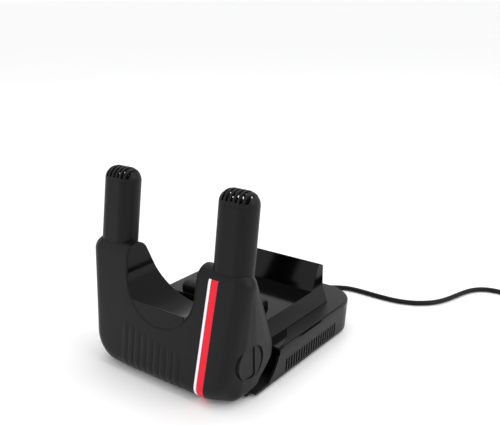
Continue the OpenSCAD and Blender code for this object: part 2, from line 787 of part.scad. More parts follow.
module power_cord() color("#0e0e0f") {
    sides = 8;
    n = len(route);
    points = [for (i = [0 : n - 1]) each ring(i, sides)];
    polyhedron(points, concat(
        [[for (k = [sides - 1 : -1 : 0]) k]],
        [[for (k = [0 : sides - 1]) (n - 1) * sides + k]],
        [for (i = [0 : n - 2], k = [0 : sides - 1]) let (m = (k + 1) % sides)
            [i * sides + k, i * sides + m, (i + 1) * sides + m, (i + 1) * sides + k]]), convexity = 4);
}

// The wound part of the cord as one ring of its outer shape
module cord_coil() color("#101011") translate([coil_at[0], coil_at[1], coil_z]) rotate_extrude()
    translate([coil_mid_r - coil_turns * cord_r, 0]) square([coil_turns * cord_d, coil_rows * cord_d]);

module cord_tie() color("#5a5c60") difference() {
    translate([coil_at[0], coil_at[1], 0]) rotate([0, 0, tie_angle])
        translate([coil_mid_r - coil_turns * cord_r - tie_t, -tie_w / 2, 0])
        cube([coil_turns * cord_d + 2 * tie_t, tie_w, coil_z + coil_rows * cord_d + tie_t]);
    cord_coil();
}

// Moulded plug lying beside the coil, pointing to the back
module plug_body() color("#0f0f10") translate([plug_x, plug_y, plug_z]) {
    rotate([-90, 0, 0]) cylinder(h = plug_neck + over, r1 = cord_r + 1, r2 = 7);
    translate([0, plug_neck, 0]) rotate([-90, 0, 0]) linear_extrude(plug_len) {
        x = plug_w / 2 - plug_round;
        y = plug_z - 0.2 - plug_round;
        square([2 * x, 2 * (y + plug_round)], center = true);
        square([plug_w, 2 * y], center = true);
        for (a = [left, right], b = [left, right]) translate([a * x, b * y]) circle(plug_round);
    }
}

module plug_pins() color("#c9b26a") for (s = [left, right])
    translate([plug_x + s * blade_gap / 2, plug_y + plug_neck + plug_len, plug_z])
        translate([-blade[0] / 2, 0, -blade[2] / 2]) cube(blade);

base_tray();
wing_cover();
rim_band();
centre_cover();
heel_rest_left();
heel_rest_right();
base_feet();
base_screws();
hinge_bracket_left();
hinge_bracket_right();
bracket_screws();
hinge_pin_left();
hinge_pin_right();
hinge_washer_left();
hinge_washer_right();
control_board();
switch_body();
switch_rocker();
strain_relief();
tower_front_shell();
tower_rear_shell();
tunnel_liner();
stripe_silver();
stripe_red();
tower_screws();
hinge_hub_left();
hinge_hub_right();
blower_scroll();
fan_wheel();
fan_motor();
air_duct_left();
air_duct_right();
heater_left();
heater_right();
thermal_cutout();
nozzle_left();
nozzle_right();
outlet_grille_left();
outlet_grille_right();
power_cord();
cord_coil();
cord_tie();
plug_body();
plug_pins();
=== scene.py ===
"""Looks of a folding boot dryer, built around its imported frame.

Lengths are metres; +Z is up and the front faces -Y.
"""

import json
import logging
import math
from dataclasses import dataclass, field
from enum import Enum
from typing import Iterable, Sequence

import bmesh
import bpy
import numpy as np
from mathutils import Matrix, Vector
from mathutils.bvhtree import BVHTree


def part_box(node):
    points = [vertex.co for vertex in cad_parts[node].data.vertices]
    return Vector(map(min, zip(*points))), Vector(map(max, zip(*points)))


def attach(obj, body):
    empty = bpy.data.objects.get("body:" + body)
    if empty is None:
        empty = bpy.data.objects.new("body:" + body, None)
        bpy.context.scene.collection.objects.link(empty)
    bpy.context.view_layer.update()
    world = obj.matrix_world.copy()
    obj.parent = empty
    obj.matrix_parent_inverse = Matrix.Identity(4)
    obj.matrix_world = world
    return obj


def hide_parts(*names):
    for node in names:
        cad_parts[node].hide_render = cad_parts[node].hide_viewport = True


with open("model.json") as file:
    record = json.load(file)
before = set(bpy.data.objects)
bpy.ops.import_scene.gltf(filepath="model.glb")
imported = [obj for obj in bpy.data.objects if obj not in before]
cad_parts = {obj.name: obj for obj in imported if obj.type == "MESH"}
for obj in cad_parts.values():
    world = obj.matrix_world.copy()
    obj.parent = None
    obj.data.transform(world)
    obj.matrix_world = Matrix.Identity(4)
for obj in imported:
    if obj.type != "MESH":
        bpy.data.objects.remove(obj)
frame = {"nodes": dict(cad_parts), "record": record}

LOG = logging.getLogger("boot_dryer")
MM = 0.001


class Body(str, Enum):
    """Rigid bodies of the frame."""

    BASE = "base"
    TOWER = "tower"


class Slot(str, Enum):
    """Material slots of the record that new pieces take their finish from."""

    SHELL = "satin_shell"
    BASE = "base_grey"
    GLOSS = "gloss_black"
    SILVER = "silver_trim"
    RED = "red_trim"
    CORD = "cord_rubber"


@dataclass(frozen=True)
class CameraPlan:
    """Where the camera stands and how it is turned."""

    place: tuple[float, float, float] = (0.42615, -0.52512, 0.35992)
    azimuth: float = math.radians(37.24)
    pitch: float = math.radians(17.76)
    roll: float = math.radians(-0.63)
    sensor: float = 36.0
    focal: float = 49.45


@dataclass(frozen=True)
class TowerPlan:
    """Driving sizes of the two-armed tower, as its solids have them."""

    front_y: float = -119 * MM
    width: float = 178 * MM
    flare: float = 0.08
    lean: float = math.radians(9)
    arm_top: float = 128 * MM
    corner_r: float = 32 * MM
    edge_r: float = 14 * MM
    toe_gap: float = 2 * MM
    wall: float = 2.4 * MM
    tunnel_r: float = 43.4 * MM
    tunnel_z: float = 103 * MM
    liner: float = 2 * MM
    hinge_back: float = 31 * MM
    hinge_z: float = 41 * MM
    heel_r: float = 41 * MM
    heel_edge: float = 10 * MM
    heel_foot: float = 12 * MM
    skid_front: float = 8 * MM
    back_r: float = 12 * MM
    back_rise: float = 55 * MM
    hub_r: float = 17 * MM
    stripe_x: float = 49 * MM
    stripe_lean: float = 0.08
    silver_w: float = 2.8 * MM
    stripe_gap: float = 1 * MM
    red_w: float = 7 * MM
    stripe_drop: float = 8 * MM
    groove: float = 0.8 * MM
    nozzle_gap: float = 146 * MM
    nozzle_back: float = 17 * MM
    nozzle_w: float = 40 * MM
    nozzle_d: float = 26 * MM
    nozzle_t: float = 2 * MM
    tip_h: float = 14 * MM
    underside: tuple[tuple[float, float], ...] = (
        (46, 7), (40, 3), (34, -6), (24, -14), (15, -20), (10, -27), (0, -31), (0, -60), (70, -60), (70, 7))

    @property
    def hinge_y(self) -> float:
        """Depth of the fold axis."""
        return self.front_y + self.hinge_back

    @property
    def toe_z(self) -> float:
        """Height of the line that the front's round foot turns about."""
        return self.toe_gap + self.edge_r

    @property
    def back_z(self) -> float:
        """Height of the round shoulders at the tower's back."""
        return self.hinge_z + self.back_rise

    def half_width(self, z: float) -> float:
        """Half of the tower's width at a height."""
        return self.width / 2 + z * self.flare

    def core_y(self, z: float) -> float:
        """Depth of the line of edge centres behind the leaning front face."""
        return self.front_y + self.edge_r + (z - self.toe_z) * math.tan(self.lean)

    def face_y(self, z: float) -> float:
        """Depth of the leaning front face at a height."""
        return self.core_y(z) - self.edge_r / math.cos(self.lean)


@dataclass(frozen=True)
class CordPlan:
    """Real facts of the mains cord and the coil that takes its spare length."""

    diameter: float = 5.6 * MM
    route: tuple[tuple[float, float, float], ...] = (
        (14, 143, 15), (14, 145, 15), (14.3, 149, 13.6), (15.5, 156, 10.2), (18, 163, 6.4), (22, 170, 3.8),
        (29, 177, 3), (40, 182.4, 3), (53, 184.4, 3), (67, 184.4, 3), (81, 184, 3), (95, 184, 3),
        (108, 185.4, 3), (120, 188.6, 3), (131, 194, 3), (141, 202, 3), (149, 212, 3), (155, 225, 3),
        (159.4, 239, 3), (163.6, 253, 3), (169, 266, 3), (177, 276, 3), (187, 281.4, 3), (199, 283, 3),
        (211, 282.4, 3), (222, 280.8, 3.2), (232, 278.6, 3.6))
    coil_centre: tuple[float, float] = (250 * MM, 311 * MM)
    coil_mid_r: float = 32 * MM
    coil_foot: float = 0.8 * MM
    turn_steps: int = 40
    layers: tuple[tuple[float, float], ...] = (
        (0.5, 0.5), (-0.5, 0.5), (-0.5, 1.5), (-0.5, 2.5), (0.5, 2.5), (0.5, 1.5))
    turns: float = 5.25
    neck_reach: float = 15 * MM


# ---- materials -------------------------------------------------------------


def linear(code: str) -> tuple[float, float, float, float]:
    """Turns an sRGB hex code into a linear colour.

    Args:
        code: Six hexadecimal digits, with or without a leading #.

    Returns:
        Red, green, blue and alpha, ready for a node's socket.
    """
    digits = code.lstrip("#")
    values = [int(digits[i:i + 2], 16) / 255 for i in (0, 2, 4)]
    curve = [v / 12.92 if v <= 0.04045 else ((v + 0.055) / 1.055) ** 2.4 for v in values]
    return (*curve, 1.0)


class Shader:
    """One procedural material and short ways to add nodes to it."""

    def __init__(self, name: str) -> None:
        """Makes the material and keeps its tree, shader and object coordinates."""
        self.material = bpy.data.materials.new(name)
        self.material.use_nodes = True
        self.tree = self.material.node_tree
        self.body = self.tree.nodes["Principled BSDF"]
        self.coords = self.add("ShaderNodeTexCoord")

    def add(self, kind: str, inputs: dict | None = None, **settings) -> bpy.types.Node:
        """Adds a node.

        Args:
            kind: Blender's type name of the node.
            inputs: Socket name to a value, or to an output socket that feeds it.
            settings: Attributes of the node itself.

        Returns:
            The new node.
        """
        node = self.tree.nodes.new(kind)
        for key, value in settings.items():
            setattr(node, key, value)
        for key, value in (inputs or {}).items():
            self.feed(node.inputs[key], value)
        return node

    def feed(self, socket: bpy.types.NodeSocket, value: object) -> None:
        """Links an output to a socket, or sets the socket's own value."""
        if isinstance(value, bpy.types.NodeSocket):
            self.tree.links.new(value, socket)
        else:
            socket.default_value = value

    def noise(self, size: float, detail: float = 3.0, roughness: float = 0.55) -> bpy.types.NodeSocket:
        """A noise whose grains are about `size` metres across, fixed to the piece."""
        node = self.add("ShaderNodeTexNoise", {
            "Vector": self.coords.outputs["Object"], "Scale": 1 / size, "Detail": detail, "Roughness": roughness})
        return node.outputs["Fac"]

    def spread(self, source: bpy.types.NodeSocket, low: float, high: float) -> bpy.types.NodeSocket:
        """Maps a 0 to 1 value onto low to high."""
        node = self.add("ShaderNodeMapRange", {"Value": source, "To Min": low, "To Max": high})
        return node.outputs["Result"]

    def tint(self, source: bpy.types.NodeSocket, dark: str, light: str) -> bpy.types.NodeSocket:
        """Mixes two colours by a value."""
        node = self.add("ShaderNodeMix", data_type="RGBA")
        self.feed(node.inputs["Factor"], source)
        self.feed(node.inputs[6], linear(dark))
        self.feed(node.inputs[7], linear(light))
        return node.outputs[2]

    def bump(
        self, height: bpy.types.NodeSocket, strength: float, depth: float,
        below: bpy.types.NodeSocket | None = None,
    ) -> bpy.types.NodeSocket:
        """A bump of a real depth in metres, on top of another one where `below` is given."""
        node = self.add("ShaderNodeBump", {"Height": height, "Strength": strength, "Distance": depth})
        if below is not None:
            self.feed(node.inputs["Normal"], below)
        return node.outputs["Normal"]


@dataclass(frozen=True)
class Plastic:
    """A moulded plastic or rubber finish."""

    name: str
    dark: str
    light: str
    rough: tuple[float, float]
    grain: float = 0.35 * MM
    relief: float = 0.25
    coat: float = 0.0
    metallic: float = 0.0
    specular: float = 0.5

    def build(self) -> Shader:
        """Makes the finish: uneven colour and gloss, and the fine texture of a moulded skin."""
        made = Shader(self.name)
        cloud = made.noise(18 * MM)
        grain = made.noise(self.grain, detail=2.0)
        made.feed(made.body.inputs["Base Color"], made.tint(cloud, self.dark, self.light))
        made.feed(made.body.inputs["Roughness"], made.spread(made.noise(6 * MM, 5.0), *self.rough))
        made.feed(made.body.inputs["Metallic"], self.metallic)
        made.feed(made.body.inputs["Specular IOR Level"], self.specular)
        made.feed(made.body.inputs["Coat Weight"], self.coat)
        made.feed(made.body.inputs["Coat Roughness"], 0.04)
        made.feed(made.body.inputs["Normal"], made.bump(grain, self.relief, 0.05 * MM))
        return made


FINISHES: dict[str, Plastic] = {
    "satin_shell": Plastic("satin_abs", "#060607", "#0a0a0b", (0.36, 0.48), specular=0.2),
    "base_grey": Plastic("grained_abs", "#0c0c0d", "#101011", (0.4, 0.54), grain=0.5 * MM, specular=0.26),
    "gloss_black": Plastic("gloss_abs", "#020202", "#030303", (0.07, 0.13), relief=0.02, specular=0.16),
    "dark_inner": Plastic("dark_nylon", "#0e0e10", "#151517", (0.55, 0.7), specular=0.25),
    "silver_trim": Plastic("silver_inlay", "#e4e8f0", "#f2f5fa", (0.22, 0.32), relief=0.05),
    "red_trim": Plastic("red_inlay", "#e8152c", "#f01e36", (0.4, 0.5), relief=0.05, specular=0.2),
    "foot_rubber": Plastic("foot_rubber", "#161617", "#1f1f20", (0.7, 0.85), grain=0.8 * MM),
    "steel_screw": Plastic("zinc_steel", "#9fa2a8", "#b4b7bd", (0.25, 0.4), metallic=1.0),
    "pin_steel": Plastic("ground_steel", "#b5b8be", "#c8cbd0", (0.15, 0.28), metallic=1.0),
    "washer_white": Plastic("acetal", "#dcd9d0", "#ebe8e0", (0.4, 0.55)),
    "board_green": Plastic("solder_mask", "#17553a", "#1f6b48", (0.3, 0.45)),
    "wheel_white": Plastic("fan_polypropylene", "#cdced2", "#dfe0e3", (0.35, 0.5)),
    "motor_steel": Plastic("motor_can", "#84888f", "#979ba2", (0.25, 0.4), metallic=1.0),
    "heater_ceramic": Plastic("heater_ceramic", "#b7a277", "#cbb78d", (0.6, 0.8), grain=1 * MM),
    "cord_rubber": Plastic("cord_pvc", "#040405", "#080809", (0.38, 0.5), grain=0.6 * MM, specular=0.2),
    "tie_grey": Plastic("tie_strap", "#4c4e52", "#5a5c61", (0.6, 0.75), grain=0.7 * MM, relief=0.6),
    "blade_brass": Plastic("blade_brass", "#b79a55", "#cdb06a", (0.2, 0.34), metallic=1.0),
    "switch_red": Plastic("rocker_red", "#7c1518", "#8f1b1e", (0.25, 0.35), relief=0.08),
}


class Palette:
    """Every material of the scene, made once and found by its slot."""

    def __init__(self) -> None:
        """Makes one material for each slot of the record."""
        self.made = {slot: finish.build().material for slot, finish in FINISHES.items()}

    def __getitem__(self, slot: str) -> bpy.types.Material:
        """The material of a slot."""
        return self.made[slot.value if isinstance(slot, Slot) else slot]


# ---- mesh helpers ----------------------------------------------------------


def new_piece(name: str, points: Sequence, faces: Sequence, smooth: bool = True) -> bpy.types.Object:
    """Makes a mesh piece at the origin.

    Args:
        name: Name of the piece.
        points: Its vertices in the shared frame, in metres.
        faces: Its faces as vertex numbers.
        smooth: Whether its faces are shaded smooth.

    Returns:
        The new object, linked to the scene.
    """
    mesh = bpy.data.meshes.new(name)
    mesh.from_pydata([tuple(map(float, p)) for p in points], [], [tuple(map(int, f)) for f in faces])
    mesh.validate()
    mesh.polygons.foreach_set("use_smooth", np.full(len(mesh.polygons), smooth))
    mesh.update()
    piece = bpy.data.objects.new(name, mesh)
    bpy.context.scene.collection.objects.link(piece)
    return piece


def dress(piece: bpy.types.Object, material: bpy.types.Material, body: Body, slot: str,
          *nodes: str) -> bpy.types.Object:
    """Gives a piece its finish and its place in the frame.

    Args:
        piece: The finished piece.
        material: Its only material.
        body: The body that it rides on.
        slot: The record's slot of that material; not used.
        nodes: Solids that it stands for.

    Returns:
        The same piece.
    """
    piece.data.materials.clear()
    piece.data.materials.append(material)
    if isinstance(piece.data, bpy.types.Mesh):
        piece.data.polygons.foreach_set("material_index", np.zeros(len(piece.data.polygons), int))
    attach(piece, body.value)
    if nodes:
        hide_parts(*nodes)
    LOG.info("%s rides on %s", piece.name, body.value)
    return piece


def grid_faces(rows: int, columns: int, wrap: bool = False) -> np.ndarray:
    """Quads of a grid of points that runs row by row, closed across its columns if wrap is set."""
    last = columns if wrap else columns - 1
    return np.array([[r * columns + c, r * columns + (c + 1) % columns,
                      (r + 1) * columns + (c + 1) % columns, (r + 1) * columns + c]
                     for r in range(rows - 1) for c in range(last)])


def turn_out(piece: bpy.types.Object) -> None:
    """Makes every face of a closed mesh point outwards."""
    shape = bmesh.new()
    shape.from_mesh(piece.data)
    bmesh.ops.recalc_face_normals(shape, faces=shape.faces)
    shape.to_mesh(piece.data)
    shape.free()


def closed_sheet(name: str, fronts: Sequence, backs: Sequence, rows: int, columns: int) -> bpy.types.Object:
    """A closed mesh between two grids of points of the same size.

    Args:
        name: Name of the piece.
        fronts: Points of the outer grid, row by row.
        backs: Points of the inner grid, in the same order.
        rows: Rows of each grid.
        columns: Columns of each grid.

    Returns:
        The new piece, with its rim closed and its faces pointing outwards.
    """
    face = grid_faces(rows, columns)
    shift = rows * columns
    faces = [tuple(f) for f in face] + [tuple(shift + f[::-1]) for f in face]
    edge = [r * columns for r in range(rows)] + [(rows - 1) * columns + c for c in range(1, columns)]
    edge += [r * columns + columns - 1 for r in range(rows - 2, -1, -1)] + list(range(columns - 2, 0, -1))
    faces += [(edge[i], edge[(i + 1) % len(edge)], shift + edge[(i + 1) % len(edge)], shift + edge[i])
              for i in range(len(edge))]
    made = new_piece(name, [*fronts, *backs], faces)
    turn_out(made)
    return made


def apply_modifiers(piece: bpy.types.Object) -> None:
    """Bakes a piece's modifiers into its mesh."""
    graph = bpy.context.evaluated_depsgraph_get()
    baked = bpy.data.meshes.new_from_object(piece.evaluated_get(graph), depsgraph=graph)
    piece.modifiers.clear()
    piece.data = baked


def carve(
    piece: bpy.types.Object, cutters: Iterable[bpy.types.Object], operation: str = "DIFFERENCE"
) -> None:
    """Cuts each cutter out of a piece, or keeps what they share, and removes the cutters."""
    cutters = list(cutters)
    for cutter in cutters:
        cut = piece.modifiers.new("cut", "BOOLEAN")
        cut.operation = operation
        cut.solver = "MANIFOLD"
        cut.object = cutter
    apply_modifiers(piece)
    for cutter in cutters:
        bpy.data.objects.remove(cutter)


def prism(
    name: str, outline: Sequence[tuple[float, float]], low: float, high: float, axis: str
) -> bpy.types.Object:
    """A straight prism along X or Y. Its outline is given as (y, z) for X and as (x, z) for Y."""
    n = len(outline)
    place = (lambda p, t: (t, p[0], p[1])) if axis == "X" else (lambda p, t: (p[0], t, p[1]))
    points = [place(p, t) for t in (low, high) for p in outline]
    faces = [tuple(range(n))[::-1], tuple(range(n, 2 * n))]
    faces += [(i, (i + 1) % n, n + (i + 1) % n, n + i) for i in range(n)]
    made = new_piece(name, points, faces, smooth=False)
    turn_out(made)
    return made


def rod(name: str, start: Vector, end: Vector, radius: float, sides: int = 96) -> bpy.types.Object:
    """A round rod between two points."""
    along = (end - start).normalized()
    across = along.orthogonal().normalized()
    up = along.cross(across)
    ring = [across * math.cos(a) + up * math.sin(a) for a in np.linspace(0, 2 * math.pi, sides, endpoint=False)]
    points = [p + r * radius for p in (start, end) for r in ring]
    faces = [tuple(range(sides))[::-1], tuple(range(sides, 2 * sides))]
    faces += [(i, (i + 1) % sides, sides + (i + 1) % sides, sides + i) for i in range(sides)]
    return new_piece(name, points, faces)


# ---- tower -----------------------------------------------------------------


@dataclass
class RoundForm:
    """The tower's outer form: a rounded hull with its exact normals, and ways to find its surface."""

    plan: TowerPlan
    grow: float = 0.0
    around: int = 144
    steps: int = 18
    points: np.ndarray = field(init=False)
    normals: np.ndarray = field(init=False)
    piece: bpy.types.Object = field(init=False)

    def __post_init__(self) -> None:
        """Hulls the sampled rounds of both sides, and keeps each hull point's exact normal."""
        samples = [s for side in (-1, 1) for s in self._sampled(side)]
        cloud = np.concatenate([p for p, _ in samples])
        faces_out = np.concatenate([n for _, n in samples])
        shape = bmesh.new()
        for point in cloud:
            shape.verts.new(point)
        shape.verts.ensure_lookup_table()
        shape.verts.index_update()
        layer = shape.verts.layers.int.new("source")
        for v in shape.verts:
            v[layer] = v.index
        found = bmesh.ops.convex_hull(shape, input=shape.verts)
        spare = [e for e in found["geom_interior"] + found["geom_unused"] if isinstance(e, bmesh.types.BMVert)]
        bmesh.ops.delete(shape, geom=list(set(spare)), context="VERTS")
        bmesh.ops.recalc_face_normals(shape, faces=shape.faces)
        mesh = bpy.data.meshes.new("tower_form")
        shape.to_mesh(mesh)
        source = np.zeros(len(mesh.vertices), int)
        mesh.attributes["source"].data.foreach_get("value", source)
        mesh.attributes.remove(mesh.attributes["source"])
        self.normals = faces_out[source]
        self.points = cloud[source]
        self.tree = BVHTree.FromBMesh(shape)
        self.faces = [[v.index for v in f.verts] for f in shape.faces]
        shape.free()
        self.piece = bpy.data.objects.new("tower_form", mesh)
        bpy.context.scene.collection.objects.link(self.piece)

    def _directions(self, side: int) -> np.ndarray:
        """Unit vectors over the outer half of a sphere: (sin t, cos t cos a, cos t sin a) on a grid of t and a."""
        turn = np.linspace(0, 2 * math.pi, self.around, endpoint=False)
        tilt = np.linspace(0, math.pi / 2, self.steps + 1)
        t, a = np.meshgrid(tilt, turn, indexing="ij")
        return np.stack([side * np.sin(t), np.cos(t) * np.cos(a), np.cos(t) * np.sin(a)], -1).reshape(-1, 3)

    def _sampled(self, side: int) -> list[tuple[np.ndarray, np.ndarray]]:
        """Points and normals of one side's rounds and round-edged discs.

        A round is its centre plus radius times n. A disc is its centre plus its radius along n flattened onto
        the disc's plane, plus its edge radius times n.

        Args:
            side: -1 for the left half, 1 for the right.

        Returns:
            One pair of arrays, points and unit normals, for each round.
        """
        p, n = self.plan, self._directions(side)
        disc_z = p.toe_z + (p.corner_r - p.edge_r) * math.cos(p.lean)
        rounds = [
            ((p.half_width(p.arm_top) - p.edge_r, p.core_y(p.arm_top - p.edge_r), p.arm_top - p.edge_r), p.edge_r),
            ((p.half_width(p.toe_z) - p.edge_r, p.hinge_y - p.skid_front, p.toe_z), p.edge_r),
            ((p.half_width(p.back_z) - p.back_r, p.hinge_y, p.back_z), p.back_r)]
        made = [(np.array([side * c[0], c[1], c[2]]) + (r + self.grow) * n, n) for c, r in rounds]
        discs = [
            ((p.width / 2 - p.corner_r, p.core_y(disc_z), disc_z), (0, -math.cos(p.lean), math.sin(p.lean)),
             p.corner_r - p.edge_r, p.edge_r, False),
            ((p.half_width(p.hinge_z) - p.heel_edge, p.hinge_y, p.hinge_z), (1, 0, 0),
             p.heel_r - p.heel_edge, p.heel_edge, True)]
        for centre, axis, radius, edge, is_heel in discs:
            a = np.array(axis, float)
            flat = n - (n @ a)[:, None] * a
            flat /= np.maximum(np.linalg.norm(flat, axis=1), 1e-9)[:, None]
            cloud = np.array([side * centre[0], centre[1], centre[2]]) + radius * flat + (edge + self.grow) * n
            keep = np.ones(len(n), bool)
            if is_heel:
                keep = (cloud[:, 1] >= p.hinge_y - p.heel_edge) & (cloud[:, 2] >= p.heel_foot)
            made.append((cloud[keep], n[keep]))
        return made

    def surface(self, origin: Vector, direction: Vector) -> tuple[Vector, Vector]:
        """Where a ray from inside leaves the form, and the form's normal there."""
        place, _, face, _ = self.tree.ray_cast(origin, direction)
        return place, self._normal_at(place, face)

    def _normal_at(self, place: Vector, face: int) -> Vector:
        """The exact normal at a point of a face, mixed from its corners by area.

        Args:
            place: A point on the face.
            face: The face's number.

        Returns:
            The unit normal.
        """
        ids = self.faces[face]
        corners = self.points[ids]
        gap = np.linalg.norm(corners - np.array(place), axis=1)
        if len(ids) == 3:
            a, b, c = corners
            area = np.linalg.norm(np.cross(b - a, c - a))
            if area > 1e-14:
                q = np.array(place)
                w = np.array([np.linalg.norm(np.cross(b - q, c - q)), np.linalg.norm(np.cross(c - q, a - q)),
                              np.linalg.norm(np.cross(a - q, b - q))]) / area
                return Vector(w @ self.normals[ids]).normalized()
        return Vector(self.normals[ids[int(gap.argmin())]])

    def smooth_normals(self, mesh: bpy.types.Mesh, reach: float = 0.03 * MM) -> None:
        """Gives every face of a cut mesh that lies on this form the form's own normals."""
        mesh.polygons.foreach_set("use_smooth", np.ones(len(mesh.polygons), bool))
        wanted = [Vector((0, 0, 0))] * len(mesh.loops)
        for face in mesh.polygons:
            place, _, index, gap = self.tree.find_nearest(face.center)
            on_form = gap is not None and gap < reach and face.normal.dot(self._normal_at(place, index)) > 0.8
            for loop in face.loop_indices:
                if on_form:
                    corner = mesh.vertices[mesh.loops[loop].vertex_index].co
                    near, _, index, _ = self.tree.find_nearest(corner)
                    wanted[loop] = self._normal_at(near, index)
                else:
                    wanted[loop] = face.normal.copy()
        mesh.normals_split_custom_set(wanted)


class TowerMaker:
    """Builds the tower's skin, liner, stripes and outlets as smooth pieces."""

    def __init__(self, plan: TowerPlan, palette: Palette) -> None:
        """Keeps the sizes and finishes, and makes the outer form once."""
        self.plan = plan
        self.palette = palette
        self.form = RoundForm(plan)

    def u_path(self, radius: float, top: float, count: int = 97) -> list[tuple[float, float]]:
        """The outline of the opening between the arms, from the left arm's top round to the right one's."""
        p = self.plan
        slant = p.flare / 2
        rise = top - p.tunnel_z
        arc = [(radius * math.cos(a), p.tunnel_z + radius * math.sin(a))
               for a in np.linspace(math.pi, 2 * math.pi, count)]
        uprights = [t * rise for t in np.linspace(1, 1 / 8, 8)]
        left = [(-radius - h * slant, p.tunnel_z + h) for h in uprights]
        right = [(radius + h * slant, p.tunnel_z + h) for h in reversed(uprights)]
        return left + arc + right

    def tunnel_cutter(self, radius: float) -> bpy.types.Object:
        """A solid that fills the opening and runs past both faces."""
        return prism("tunnel_cut", self.u_path(radius, self.plan.arm_top + 20 * MM), -0.3, 0.1, "Y")

    def underside_cutter(self) -> bpy.types.Object:
        """A solid of the space below the heel's rear edge."""
        p = self.plan
        outline = [(p.hinge_y + y * MM, p.hinge_z + z * MM) for y, z in p.underside]
        return prism("under_cut", outline, -0.2, 0.2, "X")

    def nozzle_oval(self, grow: float, count: int = 48) -> list[tuple[float, float]]:
        """Oval outline of a nozzle about its own axis."""
        p = self.plan
        r = p.nozzle_d / 2
        x = p.nozzle_w / 2 - r
        turn = np.linspace(-math.pi / 2, math.pi / 2, count)
        right = [(x + (r + grow) * math.cos(a), (r + grow) * math.sin(a)) for a in turn]
        return right + [(-a, -b) for a, b in right]

    def nozzle_place(self, side: int, foot: float) -> Matrix:
        """Matrix that stands an upright shape on an arm at a height, leaning with it."""
        p = self.plan
        place = Vector((side * p.nozzle_gap / 2, p.face_y(foot) + p.nozzle_back, foot))
        return Matrix.Translation(place) @ Matrix.Rotation(-p.lean, 4, "X")

    def nozzle_cutter(self, side: int) -> bpy.types.Object:
        """A solid of the seat that a nozzle stands in."""
        p = self.plan
        outline = self.nozzle_oval(0.25 * MM)
        matrix = self.nozzle_place(side, p.arm_top - 12 * MM)
        n = len(outline)
        points = [matrix @ Vector((x, y, z)) for z in (-1 * MM, 60 * MM) for x, y in outline]
        faces = [tuple(range(n))[::-1], tuple(range(n, 2 * n))]
        faces += [(i, (i + 1) % n, n + (i + 1) % n, n + i) for i in range(n)]
        return new_piece("seat_cut", points, faces)

    def stripe_band(
        self, start: float, width: float, inner: float, outer: float, name: str
    ) -> bpy.types.Object:
        """A closed band that follows the front face and wraps under its foot.

        Args:
            start: Where the band's left edge stands at floor height.
            width: Width of the band.
            inner: How deep its back lies below the face.
            outer: How far its front stands proud of the face.
            name: Name of the piece.

        Returns:
            The band as a closed mesh.
        """
        p = self.plan
        top = p.arm_top - p.stripe_drop
        stations = [("turn", a) for a in np.linspace(math.radians(-84), 0, 30)]
        stations += [("rise", z) for z in np.linspace(p.toe_z + 2 * MM, top, 46)]
        across = np.linspace(0, 1, 7)
        fronts, backs = [], []
        for kind, value in stations:
            for u in across:
                if kind == "turn":
                    z_line = p.toe_z + p.edge_r * math.sin(value)
                    origin = Vector((start + p.stripe_lean * z_line + u * width, p.core_y(p.toe_z), p.toe_z))
                    heading = Vector((0, -math.cos(value), math.sin(value)))
                else:
                    origin = Vector((start + p.stripe_lean * value + u * width, p.core_y(value), value))
                    heading = Vector((0, -1, 0))
                place, normal = self.form.surface(origin, heading)
                fronts.append(place + normal * outer)
                backs.append(place - normal * inner)
        return closed_sheet(name, fronts, backs, len(stations), len(across))

    def shells(self) -> list[bpy.types.Object]:
        """Front and rear shell, hollow, with the opening, the seats and the stripes' groove cut out."""
        p = self.plan
        inner = RoundForm(p, grow=-p.wall)
        made = []
        seam = 0.12 * MM
        halves = (("front_shell", -0.3, p.hinge_y - seam), ("rear_shell", p.hinge_y + seam, 0.1))
        for name, low, high in halves:
            shell = bpy.data.objects.new(name, self.form.piece.data.copy())
            bpy.context.scene.collection.objects.link(shell)
            half = prism("half", [(-0.2, -0.1), (0.2, -0.1), (0.2, 0.3), (-0.2, 0.3)], low, high, "Y")
            carve(shell, [half], "INTERSECT")
            hollow = bpy.data.objects.new("hollow", inner.piece.data.copy())
            bpy.context.scene.collection.objects.link(hollow)
            cutters = [hollow, self.tunnel_cutter(p.tunnel_r + p.liner), self.underside_cutter()]
            cutters += [self.nozzle_cutter(side) for side in (-1, 1)]
            for side in (-1, 1):
                cutters.append(rod("hub_cut", Vector((side * 0.087, p.hinge_y, p.hinge_z)),
                                   Vector((side * 0.12, p.hinge_y, p.hinge_z)), p.hub_r + 0.35 * MM))
            if name == "front_shell":
                band = p.silver_w + p.stripe_gap + p.red_w
                cutters.append(self.stripe_band(p.stripe_x - 0.3 * MM, band + 0.6 * MM, p.groove, 1 * MM, "groove"))
            carve(shell, cutters)
            self.form.smooth_normals(shell.data)
            made.append(dress(shell, self.palette[Slot.SHELL], Body.TOWER, Slot.SHELL.value, f"tower_{name}"))
        bpy.data.objects.remove(inner.piece)
        return made

